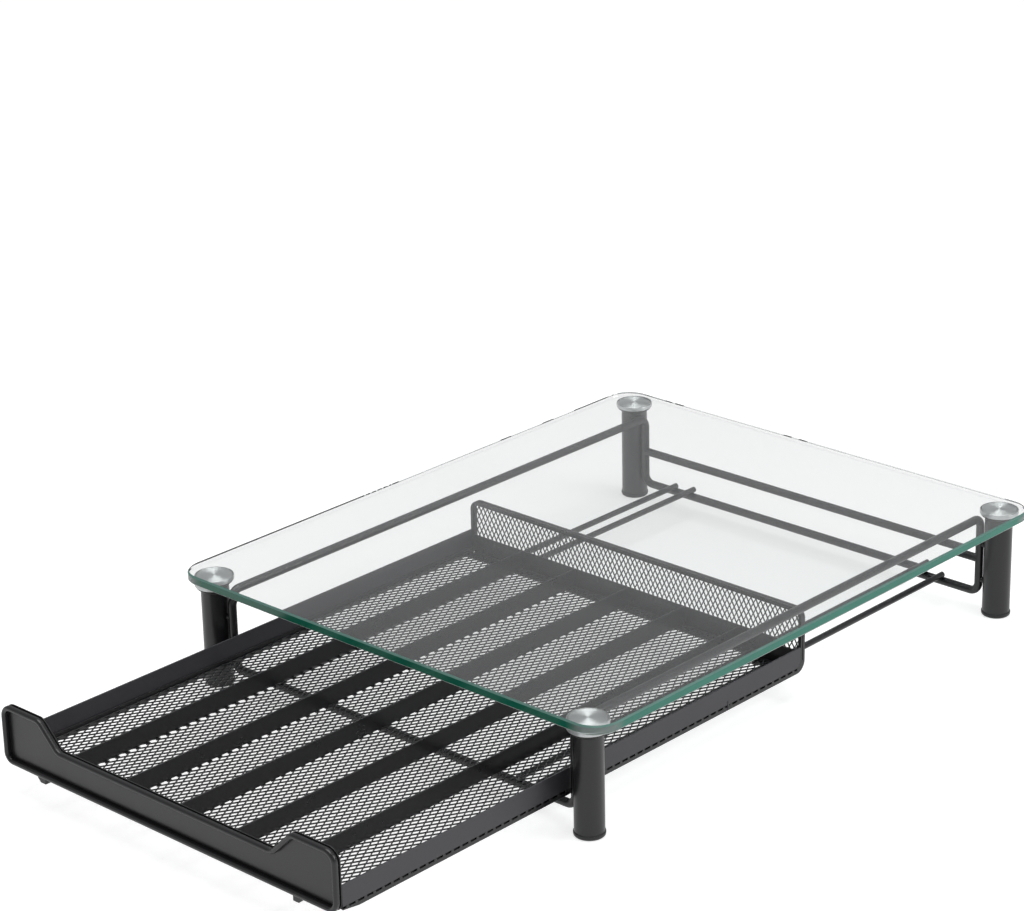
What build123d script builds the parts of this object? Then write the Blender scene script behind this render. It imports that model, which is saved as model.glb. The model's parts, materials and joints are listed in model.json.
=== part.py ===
"""Glass-topped stand with a sliding pod drawer, built piece by piece.

The stand is a sheet of glass on four round feet, with a bent-wire frame hung between
the feet.  The drawer is a low steel tray with six lanes that slides on four wires.
It is drawn pulled about halfway out.  Millimetres, +Z up, X across the front and
+Y towards the back.  The origin is under the middle of the whole thing.
"""
from build123d import *
import math
import os

os.makedirs("parts", exist_ok=True)

# ---------------------------------------------------------------- driving dimensions
# glass, past the middles of the feet
glass_overhang_x = 19.5
glass_overhang_y = 14.0
glass_thickness = 6.0
glass_corner_radius = 17.0
glass_arris = 1.0

# round feet, from the table up
leg_spacing_y = 400.0
leg_diameter = 18.0
leg_wall = 1.5
leg_length = 61.0
foot_diameter = 19.0
foot_height = 3.0
foot_edge = 1.5
plug_depth = 12.0
plug_clearance = 0.6
plug_barb_height = 1.2
plug_core_diameter = 9.0
collar_diameter = 23.0
collar_height = 3.0
collar_rim = 1.0
disc_diameter = 25.0
disc_height = 3.0
disc_edge = 0.5
stud_diameter = 6.0
stud_in_disc = 2.0
insert_length = 14.0

# bent wire frame between the feet
wire_diameter = 5.5
wire_bend_radius = 6.5
wire_inset_x = 12.5
wire_inset_y = 2.5
side_rail_drop = 2.6
cross_bar_height = 36.5
lower_bar_height = 12.8
pin_diameter = 4.0
pin_heights = (22.0, 47.0)
pin_in_leg = 1.2
pin_in_wire = 2.0

# wires that the drawer slides on
runner_diameter = 4.0
runner_outer_inset = 25.0
runner_inner_inset = 39.0
runner_outer_overhang = 1.0
runner_inner_overhang = 2.5
runner_end_bevel = 1.2
weld_set = 0.2

# drawer
drawer_width = 279.0
drawer_side_gap = 0.75
drawer_setback = 6.65
drawer_pull = 176.45
drawer_clearance = 0.3
end_height = 38.0
low_middle_height = 22.2
low_middle_half_width = 89.0
end_shoulder_half_width = 105.0
front_top_radius = 8.0
front_bottom_radius = 7.0
front_slope_radius = 6.0
front_rim_depth = 5.1
front_bead_width = 3.3
front_bead_depth = 3.3
front_bead_radius = 1.5
front_recess = 3.5
front_groove_width = 1.0
front_groove_depth = 1.0
sheet = 1.0
band_height = 16.8
hem_height = 2.4
hem_width = 3.0
hem_nose_length = 12.0
hem_nose_rise = 1.8
slot_height = 1.3
slot_length = 4.5
slot_pitch = 6.7
floor_strip_width = 8.0
floor_thickness = 0.8
rear_rim_depth = 4.0
rear_rim_top = 3.0
rear_post_width = 2.4
rear_bead_width = 2.0
rear_groove_width = 0.6
rear_groove_depth = 0.6
rear_elbow_radius = 7.5
rear_band_height = 13.5
rear_top_radius = 7.0
lane_count = 6
divider_height = 12.2
guide_lug_width = 7.0
guide_lug_length = 5.0
guide_lug_bevel = 2.5
guide_lug_setback = 1.8

# expanded mesh: diamonds in staggered rows
back_cell_width = 3.8
back_cell_height = 6.8
back_strand = 0.85
back_thickness = 0.7
back_cell_rows = 3
floor_cell_width = 29.6
floor_cell_length = 38.0
floor_strand = 2.4

# ---------------------------------------------------------------- levels and places
leg_bottom = foot_height
leg_top = leg_bottom + leg_length
collar_top = leg_top + collar_height
glass_bottom = collar_top + disc_height

# the drawer sets how far apart the wires stand, and the wires set the feet and the glass
wire_radius = wire_diameter / 2
drawer_half = drawer_width / 2
post_x = drawer_half + drawer_side_gap + wire_radius
leg_x = post_x + wire_inset_x
leg_y = leg_spacing_y / 2
post_y = leg_y - wire_inset_y
glass_width = 2 * (leg_x + glass_overhang_x)
glass_depth = 2 * (leg_y + glass_overhang_y)
side_rail_height = leg_top - side_rail_drop
post_top = side_rail_height - wire_bend_radius
post_bottom = lower_bar_height + wire_bend_radius

runner_radius = runner_diameter / 2
runner_outer_x = drawer_half - runner_outer_inset
runner_inner_x = drawer_half - runner_inner_inset
runner_level = lower_bar_height + wire_radius + runner_radius - weld_set
drawer_bottom = runner_level + runner_radius + drawer_clearance

# shut, the drawer's back stops just short of the upper rear bar and its front stands a
# little back from the glass
drawer_rear_in_stand = post_y - wire_radius - drawer_clearance - drawer_pull
drawer_front_in_stand = drawer_setback - glass_depth / 2 - drawer_pull
# the stand moves back so that the origin lies under the middle of the whole box
stand_y = -(drawer_front_in_stand + glass_depth / 2) / 2

drawer_rear = drawer_rear_in_stand + stand_y
drawer_front = drawer_front_in_stand + stand_y
front_rim_back = drawer_front + front_rim_depth
rear_rim_front = drawer_rear - rear_rim_depth
floor_bottom = drawer_bottom + sheet
floor_top = floor_bottom + floor_thickness
band_top = drawer_bottom + band_height
end_top = drawer_bottom + end_height
tray_half = drawer_half - sheet

CORNERS = {
    "front_left": (-1, -1),
    "front_right": (1, -1),
    "rear_left": (-1, 1),
    "rear_right": (1, 1),
}
SIDES = {"left": -1, "right": 1}


def save(piece, name):
    """Label a finished piece and write it under its own name."""
    piece.part.label = name
    export_step(piece.part, f"parts/{name}.step")


def leg_place(corner, height):
    """The upright axis of one foot, at the given height."""
    side, end = CORNERS[corner]
    return Plane(origin=(side * leg_x, stand_y + end * leg_y, height))


# ---------------------------------------------------------------- glass top
with BuildPart() as glass_top:
    with BuildSketch(Plane.XY.offset(glass_bottom)):
        with Locations((0, stand_y)):
            RectangleRounded(glass_width, glass_depth, glass_corner_radius)
    extrude(amount=glass_thickness)
    rims = glass_top.faces().filter_by(Axis.Z).edges()
    chamfer(rims, length=glass_arris)
save(glass_top, "glass_top")

# ---------------------------------------------------------------- feet
leg_bore = leg_diameter - 2 * leg_wall

for corner in CORNERS:
    # disc bonded under the glass, with a blind tapped hole from below
    with BuildPart(leg_place(corner, collar_top)) as glue_disc:
        Cylinder(disc_diameter / 2, disc_height, align=(Align.CENTER, Align.CENTER, Align.MIN))
        chamfer(glue_disc.edges().filter_by(GeomType.CIRCLE), length=disc_edge)
        Cylinder(
            stud_diameter / 2,
            stud_in_disc,
            align=(Align.CENTER, Align.CENTER, Align.MIN),
            mode=Mode.SUBTRACT,
        )
    save(glue_disc, f"glue_disc_{corner}")

    # collar that flares from the tube up to the disc
    with BuildPart(leg_place(corner, leg_top)) as collar:
        with BuildSketch(Plane(leg_place(corner, leg_top).origin, x_dir=(1, 0, 0), z_dir=(0, -1, 0))):
            with BuildLine():
                Polyline(
                    (stud_diameter / 2, 0),
                    (leg_diameter / 2, 0),
                    (collar_diameter / 2, collar_height - collar_rim),
                    (collar_diameter / 2, collar_height),
                    (stud_diameter / 2, collar_height),
                    close=True,
                )
            make_face()
        revolve(axis=Axis(leg_place(corner, leg_top).origin, (0, 0, 1)))
    save(collar, f"collar_{corner}")

    # tube, with two small holes where the frame's pins enter
    side, end = CORNERS[corner]
    towards_wire = Vector(-side * wire_inset_x, -end * wire_inset_y, 0).normalized()
    with BuildPart(leg_place(corner, leg_bottom)) as leg:
        Cylinder(leg_diameter / 2, leg_length, align=(Align.CENTER, Align.CENTER, Align.MIN))
        Cylinder(
            leg_bore / 2,
            leg_length,
            align=(Align.CENTER, Align.CENTER, Align.MIN),
            mode=Mode.SUBTRACT,
        )
        for height in pin_heights:
            with BuildSketch(Plane(leg_place(corner, height).origin, z_dir=towards_wire)):
                Circle(pin_diameter / 2)
            extrude(amount=leg_diameter, mode=Mode.SUBTRACT)
    save(leg, f"leg_{corner}")

    # foot with a plug pushed up the tube, gripped by one barb
    with BuildPart(leg_place(corner, 0)) as foot_plug:
        Cylinder(foot_diameter / 2, foot_height, align=(Align.CENTER, Align.CENTER, Align.MIN))
        chamfer(foot_plug.edges().group_by(Axis.Z)[0], length=foot_edge)
        with Locations((0, 0, foot_height)):
            Cylinder(
                leg_bore / 2 - plug_clearance,
                plug_depth,
                align=(Align.CENTER, Align.CENTER, Align.MIN),
            )
            with Locations((0, 0, plug_depth / 2)):
                Cylinder(leg_bore / 2, plug_barb_height)
        with Locations((0, 0, foot_height)):
            Cylinder(
                plug_core_diameter / 2,
                plug_depth,
                align=(Align.CENTER, Align.CENTER, Align.MIN),
                mode=Mode.SUBTRACT,
            )
    save(foot_plug, f"foot_plug_{corner}")

# threaded inserts pressed into the tops of the tubes
with BuildPart() as leg_inserts:
    for corner in CORNERS:
        with Locations(leg_place(corner, leg_top)):
            Cylinder(leg_bore / 2, insert_length, align=(Align.CENTER, Align.CENTER, Align.MAX))
            Cylinder(
                stud_diameter / 2,
                insert_length,
                align=(Align.CENTER, Align.CENTER, Align.MAX),
                mode=Mode.SUBTRACT,
            )
save(leg_inserts, "leg_inserts")

# studs that pull disc, collar and tube together
with BuildPart() as disc_studs:
    for corner in CORNERS:
        with Locations(leg_place(corner, collar_top + stud_in_disc)):
            Cylinder(
                stud_diameter / 2,
                stud_in_disc + collar_height + insert_length,
                align=(Align.CENTER, Align.CENTER, Align.MAX),
            )
save(disc_studs, "disc_studs")

# ---------------------------------------------------------------- bent wire frame
post_span_y = 2 * (post_y - wire_bend_radius)
bar_span_x = 2 * (post_x - wire_bend_radius)

# side rails just under the glass
for side_name, side in SIDES.items():
    rail_middle = Plane(origin=(side * post_x, stand_y, side_rail_height), z_dir=(0, 1, 0))
    with BuildPart(rail_middle) as side_rail:
        Cylinder(wire_radius, post_span_y)
    save(side_rail, f"side_rail_{side_name}")

# uprights beside the feet, drilled for the pins
for corner, (side, end) in CORNERS.items():
    post_foot = Plane(origin=(side * post_x, stand_y + end * post_y, post_bottom))
    towards_leg = Vector(side * wire_inset_x, end * wire_inset_y, 0).normalized()
    with BuildPart(post_foot) as frame_post:
        Cylinder(
            wire_radius,
            post_top - post_bottom,
            align=(Align.CENTER, Align.CENTER, Align.MIN),
        )
        for height in pin_heights:
            pin_end = Vector(side * post_x, stand_y + end * post_y, height)
            pin_start = pin_end + towards_leg * (wire_radius - pin_in_wire)
            with BuildSketch(Plane(pin_start, z_dir=towards_leg)):
                Circle(pin_diameter / 2)
            extrude(amount=wire_diameter, mode=Mode.SUBTRACT)
    save(frame_post, f"frame_post_{corner}")

# upper bends, from the side rails down into the uprights
with BuildPart() as upper_bends:
    for side, end in CORNERS.values():
        turn_y = stand_y + end * (post_y - wire_bend_radius)
        with BuildSketch(Plane(origin=(side * post_x, turn_y, side_rail_height), z_dir=(0, end, 0))):
            Circle(wire_radius)
        revolve(
            axis=Axis((side * post_x, turn_y, post_top), (-end, 0, 0)),
            revolution_arc=90,
        )
save(upper_bends, "upper_bends")

# lower bends, from the uprights in to the lower bars
with BuildPart() as lower_bends:
    for side, end in CORNERS.values():
        turn_x = side * (post_x - wire_bend_radius)
        bar_y = stand_y + end * post_y
        with BuildSketch(Plane(origin=(turn_x, bar_y, lower_bar_height), z_dir=(side, 0, 0))):
            Circle(wire_radius)
        revolve(
            axis=Axis((turn_x, bar_y, post_bottom), (0, -side, 0)),
            revolution_arc=90,
        )
save(lower_bends, "lower_bends")

# lower bars, one at each end of the stand
for end_name, end in (("front", -1), ("rear", 1)):
    bar_middle = Plane(
        origin=(0, stand_y + end * post_y, lower_bar_height),
        z_dir=(1, 0, 0),
    )
    with BuildPart(bar_middle) as lower_bar:
        Cylinder(wire_radius, bar_span_x)
    save(lower_bar, f"lower_{end_name}_bar")

# upper rear bar, saddled onto the two rear uprights: it stops the drawer
with BuildPart() as upper_rear_bar:
    with Locations(Plane(origin=(0, stand_y + post_y, cross_bar_height), z_dir=(1, 0, 0))):
        Cylinder(wire_radius, 2 * post_x)
    with Locations(
        (-post_x, stand_y + post_y, cross_bar_height),
        (post_x, stand_y + post_y, cross_bar_height),
    ):
        Cylinder(wire_radius, 2 * wire_diameter, mode=Mode.SUBTRACT)
save(upper_rear_bar, "upper_rear_bar")

# pins that carry the frame on the feet, across the small gap between foot and wire
pin_span = math.hypot(wire_inset_x, wire_inset_y)
pin_length = pin_span - leg_diameter / 2 - wire_radius + pin_in_leg + pin_in_wire
with BuildPart() as frame_pins:
    for side, end in CORNERS.values():
        towards_wire = Vector(-side * wire_inset_x, -end * wire_inset_y, 0).normalized()
        for height in pin_heights:
            leg_middle = Vector(side * leg_x, stand_y + end * leg_y, height)
            pin_start = leg_middle + towards_wire * (leg_diameter / 2 - pin_in_leg)
            with BuildSketch(Plane(pin_start, z_dir=towards_wire)):
                Circle(pin_diameter / 2)
            extrude(amount=pin_length)
save(frame_pins, "frame_pins")

# wires that the drawer slides on, set a little into the lower bars where they are welded
runner_table = {
    "runner_outer": (runner_outer_x, runner_outer_overhang, True),
    "runner_inner": (runner_inner_x, runner_inner_overhang, False),
}
for runner_name, (runner_x, overhang, rounded) in runner_table.items():
    for side_name, side in SIDES.items():
        runner_middle = Plane(origin=(side * runner_x, stand_y, runner_level), z_dir=(0, 1, 0))
        with BuildPart() as runner:
            with Locations(runner_middle):
                Cylinder(runner_radius, 2 * (post_y + overhang))
            if rounded:
                chamfer(runner.edges().filter_by(GeomType.CIRCLE), length=runner_end_bevel)
            for end in (-1, 1):
                bar_cross = Plane(
                    origin=(side * runner_x, stand_y + end * post_y, lower_bar_height),
                    z_dir=(1, 0, 0),
                )
                with Locations(bar_cross):
                    Cylinder(wire_radius, 2 * runner_diameter, mode=Mode.SUBTRACT)
        save(runner, f"{runner_name}_{side_name}")


# ---------------------------------------------------------------- drawer front
def front_outline(inset):
    """The drawer front's outline with its dropped middle, drawn in from its edge."""
    with BuildSketch() as outline:
        with BuildLine():
            Polyline(
                (-drawer_half, 0),
                (drawer_half, 0),
                (drawer_half, end_height),
                (end_shoulder_half_width, end_height),
                (low_middle_half_width, low_middle_height),
                (-low_middle_half_width, low_middle_height),
                (-end_shoulder_half_width, end_height),
                (-drawer_half, end_height),
                close=True,
            )
        make_face()
        lowest = outline.vertices().group_by(Axis.Y)[0]
        fillet(lowest, radius=front_bottom_radius)
        outer = outline.vertices().group_by(Axis.Y)[-1].group_by(SortBy.DISTANCE)[-1]
        fillet(outer, radius=front_top_radius)
        bends = [
            corner
            for corner in outline.vertices()
            if abs(abs(corner.X) - end_shoulder_half_width) < sheet
            or abs(abs(corner.X) - low_middle_half_width) < sheet
        ]
        fillet(bends, radius=front_slope_radius)
        if inset:
            offset(amount=-inset, mode=Mode.REPLACE)
    return outline.sketch


front_plane = Plane(origin=(0, drawer_front, drawer_bottom), x_dir=(1, 0, 0), z_dir=(0, -1, 0))

# rolled bead round the front, with a groove behind it
with BuildPart() as front_rim:
    with BuildSketch(front_plane):
        add(front_outline(0))
        add(front_outline(front_bead_width), mode=Mode.SUBTRACT)
    extrude(amount=-front_rim_depth)
    fillet(front_rim.faces().sort_by(Axis.Y)[0].edges(), radius=front_bead_radius)
    with BuildSketch(front_plane.offset(-front_bead_depth)):
        add(front_outline(0))
        add(front_outline(front_groove_depth), mode=Mode.SUBTRACT)
    extrude(amount=-front_groove_width, mode=Mode.SUBTRACT)
save(front_rim, "front_rim")

# pressed face set back inside the bead
with BuildPart() as front_panel:
    with BuildSketch(front_plane.offset(-front_recess)):
        add(front_outline(front_bead_width))
    extrude(amount=-sheet)
save(front_panel, "front_panel")

# ---------------------------------------------------------------- drawer sides
elbow_y = drawer_rear - rear_elbow_radius
elbow_z = drawer_bottom + rear_elbow_radius
elbow_inner = rear_elbow_radius - rear_rim_depth
side_length = elbow_y - front_rim_back
side_middle = front_rim_back + side_length / 2
hem_top = drawer_bottom + hem_height
band_bottom = hem_top + slot_height
floor_width = 2 * (drawer_half - hem_width)
tab_length = slot_pitch - slot_length
tab_count = int((side_length - tab_length) // slot_pitch) + 1

for side_name, side in SIDES.items():
    outer_face = Plane(origin=(side * drawer_half, 0, 0), x_dir=(0, 1, 0), z_dir=(1, 0, 0))
    # flat plate, rounded where it meets the elbow at the back
    with BuildPart() as side_band:
        with BuildSketch(outer_face):
            with BuildLine():
                elbow_foot = (elbow_y, elbow_z - elbow_inner)
                elbow_head = (rear_rim_front, elbow_z)
                Polyline(
                    elbow_foot,
                    (elbow_y, band_bottom),
                    (front_rim_back, band_bottom),
                    (front_rim_back, band_top),
                    (rear_rim_front, band_top),
                    elbow_head,
                )
                RadiusArc(elbow_head, elbow_foot, elbow_inner)
            make_face()
        extrude(amount=-side * sheet)
    save(side_band, f"side_band_{side_name}")

    # hem along the bottom, rising to a thin nose in front, with a row of tabs that leave
    # slots under the plate
    with BuildPart() as side_hem:
        with BuildSketch(outer_face):
            with BuildLine():
                Polyline(
                    (front_rim_back, drawer_bottom + hem_nose_rise),
                    (front_rim_back + hem_nose_length, drawer_bottom),
                    (elbow_y, drawer_bottom),
                    (elbow_y, hem_top),
                    (front_rim_back, hem_top),
                    close=True,
                )
            make_face()
        extrude(amount=-side * hem_width)
        with BuildSketch(outer_face):
            with Locations((side_middle, hem_top + slot_height / 2)):
                with GridLocations(slot_pitch, 1, tab_count, 1):
                    Rectangle(tab_length, slot_height)
        extrude(amount=-side * sheet)
    save(side_hem, f"side_hem_{side_name}")

# ---------------------------------------------------------------- drawer back
rear_plane = Plane(origin=(0, drawer_rear, elbow_z), x_dir=(1, 0, 0), z_dir=(0, -1, 0))
rear_height = end_top - elbow_z
rear_opening_half = drawer_half - rear_post_width
rear_opening_height = rear_height - rear_rim_top
rear_groove_at = rear_bead_width + rear_groove_width

# upright frame at the back: two posts, a top rail and an elbow at each foot
with BuildPart() as rear_rim:
    with BuildSketch(rear_plane) as rear_arch:
        with Locations((0, rear_height / 2)):
            Rectangle(drawer_width, rear_height)
        fillet(rear_arch.vertices().group_by(Axis.Y)[-1], radius=rear_top_radius)
        with Locations((0, rear_opening_height / 2)):
            Rectangle(2 * rear_opening_half, rear_opening_height, mode=Mode.SUBTRACT)
    extrude(amount=rear_rim_depth)
    for side in SIDES.values():
        post_middle = side * (drawer_half - rear_post_width / 2)
        with BuildSketch(Plane(origin=(post_middle, 0, elbow_z))):
            with Locations((0, drawer_rear - rear_rim_depth / 2)):
                Rectangle(rear_post_width, rear_rim_depth)
        revolve(axis=Axis((0, elbow_y, elbow_z), (-1, 0, 0)), revolution_arc=90)
    # groove round the outside, in front of the bead
    with BuildSketch(Plane(origin=(0, drawer_rear - rear_bead_width, elbow_z), x_dir=(1, 0, 0),
                           z_dir=(0, -1, 0))) as groove_arch:
        with Locations((0, rear_height / 2)):
            Rectangle(drawer_width, rear_height)
        fillet(groove_arch.vertices().group_by(Axis.Y)[-1], radius=rear_top_radius)
        with Locations((0, (rear_height - rear_groove_depth) / 2)):
            Rectangle(
                drawer_width - 2 * rear_groove_depth,
                rear_height - rear_groove_depth,
                mode=Mode.SUBTRACT,
            )
    extrude(amount=rear_groove_width, mode=Mode.SUBTRACT)
save(rear_rim, "rear_rim")

# strip under the rear edge of the floor, with the plate across the back standing on it
with BuildPart() as rear_floor_strip:
    with BuildSketch(Plane.XY.offset(drawer_bottom)):
        with Locations((0, rear_rim_front + sheet)):
            Rectangle(floor_width, floor_strip_width + sheet, align=(Align.CENTER, Align.MAX))
    extrude(amount=sheet)
save(rear_floor_strip, "rear_floor_strip")

with BuildPart() as rear_band:
    with BuildSketch(Plane.XY.offset(floor_bottom)):
        with Locations((0, rear_rim_front)):
            Rectangle(2 * rear_opening_half, sheet, align=(Align.CENTER, Align.MIN))
    extrude(amount=rear_band_height - sheet)
save(rear_band, "rear_band")


# ---------------------------------------------------------------- expanded mesh
def diamond_mesh(width, height, cell_width, cell_height, strand):
    """A sheet of staggered diamonds, with only whole diamonds cut out of it."""
    columns = int((width - 2 * strand) // cell_width)
    rows = int((height - 2 * strand) // cell_height)
    lean = math.hypot(cell_width, cell_height)
    hole_half_width = cell_width / 2 - strand * lean / (2 * cell_height)
    hole_half_height = hole_half_width * cell_height / cell_width
    diamond_points = [
        (hole_half_width, 0),
        (0, hole_half_height),
        (-hole_half_width, 0),
        (0, -hole_half_height),
    ]
    with BuildSketch() as mesh:
        Rectangle(width, height)
        with GridLocations(cell_width, cell_height, columns, rows):
            Polygon(*diamond_points, mode=Mode.SUBTRACT)
        with GridLocations(cell_width, cell_height, columns - 1, rows - 1):
            Polygon(*diamond_points, mode=Mode.SUBTRACT)
    return mesh.sketch


# back mesh behind and above the rear plate, inside the rear frame
mesh_height = back_cell_rows * back_cell_height + 2 * back_strand
mesh_top = end_top - rear_rim_top
mesh_plane = Plane(
    origin=(0, drawer_rear - rear_rim_depth / 2, mesh_top - mesh_height / 2),
    x_dir=(1, 0, 0),
    z_dir=(0, -1, 0),
)
with BuildPart() as back_mesh:
    with BuildSketch(mesh_plane):
        add(
            diamond_mesh(
                2 * rear_opening_half,
                mesh_height,
                back_cell_width,
                back_cell_height,
                back_strand,
            )
        )
    extrude(amount=back_thickness)
save(back_mesh, "back_mesh")

# floor mesh between the hems, from the front rim to the strip at the back
floor_length = elbow_y - front_rim_back
with BuildPart() as floor_mesh:
    with BuildSketch(Plane((0, front_rim_back + floor_length / 2, floor_bottom))):
        add(
            diamond_mesh(
                floor_width,
                floor_length,
                floor_cell_width,
                floor_cell_length,
                floor_strand,
            )
        )
    extrude(amount=floor_thickness)
save(floor_mesh, "floor_mesh")

# ---------------------------------------------------------------- lanes
lane_pitch = 2 * tray_half / lane_count
divider_length = rear_rim_front - front_rim_back
for lane in range(1, lane_count):
    divider_x = -tray_half + lane * lane_pitch
    with BuildPart(Plane(origin=(divider_x, front_rim_back, floor_top))) as lane_divider:
        Box(
            sheet,
            divider_length,
            divider_height,
            align=(Align.CENTER, Align.MIN, Align.MIN),
        )
    save(lane_divider, f"lane_divider_{lane}")

# ---------------------------------------------------------------- guide lugs
# four lugs run in the slot between an outer and an inner slide wire
lug_x = (runner_outer_x + runner_inner_x) / 2
lug_bottom = lower_bar_height + wire_radius + drawer_clearance
lug_height = drawer_bottom - lug_bottom
lug_starts = {-1: drawer_front + guide_lug_setback, 1: rear_rim_front + sheet - guide_lug_length}
for corner, (side, end) in CORNERS.items():
    lug_plane = Plane(
        origin=(side * lug_x, lug_starts[end], drawer_bottom),
        x_dir=(side, 0, 0),
        z_dir=(0, -side, 0),
    )
    with BuildPart() as guide_lug:
        with BuildSketch(lug_plane):
            with BuildLine():
                half = guide_lug_width / 2
                Polyline(
                    (-half, 0),
                    (-half, -lug_height),
                    (half - guide_lug_bevel, -lug_height),
                    (half, guide_lug_bevel - lug_height),
                    (half, 0),
                    close=True,
                )
            make_face()
        extrude(amount=-side * guide_lug_length)
    save(guide_lug, f"guide_lug_{corner}")
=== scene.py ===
# %% [markdown]
# # A glass-topped stand with a pod drawer
# The solids come first, as a fixed frame in metres: this lesson dresses them. Pieces whose
# shape is already right keep their solid and get a finish. Others, such as the fine metal
# mesh, are built new over the solid that they stand for, and ride on the same body, so that
# they move when the drawer slides.

# %% Load the frame
import json
import math

import bpy
from mathutils import Matrix, Vector


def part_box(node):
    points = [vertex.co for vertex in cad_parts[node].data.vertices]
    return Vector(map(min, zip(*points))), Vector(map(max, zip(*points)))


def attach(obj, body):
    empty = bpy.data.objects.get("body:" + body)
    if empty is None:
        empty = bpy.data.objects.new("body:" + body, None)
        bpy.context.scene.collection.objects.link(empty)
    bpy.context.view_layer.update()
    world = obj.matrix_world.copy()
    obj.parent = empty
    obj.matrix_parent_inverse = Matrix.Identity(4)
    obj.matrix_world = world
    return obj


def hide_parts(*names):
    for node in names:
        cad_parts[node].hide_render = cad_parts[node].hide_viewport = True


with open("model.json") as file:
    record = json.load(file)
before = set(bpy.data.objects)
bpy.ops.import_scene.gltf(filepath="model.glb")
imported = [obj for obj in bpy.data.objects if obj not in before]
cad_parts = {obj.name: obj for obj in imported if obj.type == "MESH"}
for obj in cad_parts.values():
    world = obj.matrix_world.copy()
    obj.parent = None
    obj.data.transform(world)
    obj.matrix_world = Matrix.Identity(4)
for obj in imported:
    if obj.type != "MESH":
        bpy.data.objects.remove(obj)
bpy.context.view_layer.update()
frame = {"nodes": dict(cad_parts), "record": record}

MM = 0.001

# %% [markdown]
# ## The camera
# The lens is long and stands about two metres off, above the front right corner, so the
# stand's sides stay nearly parallel. The place and the three turns are set first, because
# everything later is judged through this view.

# %% Camera
CAMERA_PLACE = Vector((1.2200, -1.3011, 0.8520))
CAMERA_PITCH, CAMERA_YAW, CAMERA_ROLL = (math.radians(a) for a in (21.27, -43.32, -1.30))
IMAGE_WIDTH = 1024
FOCAL_PIXELS = 3158.4
SENSOR_WIDTH = 36.0

camera_data = bpy.data.cameras.new("camera")
camera_data.sensor_width = SENSOR_WIDTH
camera_data.lens = FOCAL_PIXELS / IMAGE_WIDTH * SENSOR_WIDTH
camera_data.clip_start, camera_data.clip_end = 0.05, 60.0
camera = bpy.data.objects.new("camera", camera_data)
bpy.context.scene.collection.objects.link(camera)
bpy.context.scene.camera = camera

forward = Vector((
    math.sin(CAMERA_YAW) * math.cos(CAMERA_PITCH),
    math.cos(CAMERA_YAW) * math.cos(CAMERA_PITCH),
    -math.sin(CAMERA_PITCH),
))
level_right = Vector((math.cos(CAMERA_YAW), -math.sin(CAMERA_YAW), 0.0))
level_up = level_right.cross(forward)
right = level_right * math.cos(CAMERA_ROLL) + level_up * math.sin(CAMERA_ROLL)
up = level_up * math.cos(CAMERA_ROLL) - level_right * math.sin(CAMERA_ROLL)
camera_turn = Matrix((right, up, -forward)).transposed().to_4x4()
camera.matrix_world = Matrix.Translation(CAMERA_PLACE) @ camera_turn
print("lens", round(camera_data.lens, 2), "mm")

# %% [markdown]
# ## Shader maths in plain expressions
# A finish is a tree of nodes, and many of them do sums. Written out, each sum is a node and
# two links, which is hard to read. `Value` wraps the output of a node so that
# `1 - mask * 0.5` adds the Math nodes by itself.

# %% Value
class Value:
    """The output of a node, used in sums like a number."""

    def __init__(self, finish, socket):
        self.finish = finish
        self.socket = socket

    def maths(self, operation, first, second=0.0):
        """Adds one Math node."""
        return self.finish.node(
            "ShaderNodeMath", {"operation": operation}, {0: first, 1: second}
        )

    def __add__(self, other):
        return self.maths("ADD", self, other)

    def __radd__(self, other):
        return self.maths("ADD", other, self)

    def __sub__(self, other):
        return self.maths("SUBTRACT", self, other)

    def __rsub__(self, other):
        return self.maths("SUBTRACT", other, self)

    def __mul__(self, other):
        return self.maths("MULTIPLY", self, other)

    def __gt__(self, other):
        return self.maths("GREATER_THAN", self, other)

    def __or__(self, other):
        return self.maths("MAXIMUM", self, other)

    def __abs__(self):
        return self.maths("ABSOLUTE", self)


print("a Value knows + - * > | and abs()")

# %% [markdown]
# ## One tree of nodes for each finish
# `Finish` makes a tree and empties it. Every node comes from `Finish.node`, which takes its
# type, its settings and what its sockets get: a number stays on the socket, and a `Value` is
# linked to it. The other methods are the nodes that come back often, under a short name.

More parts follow.
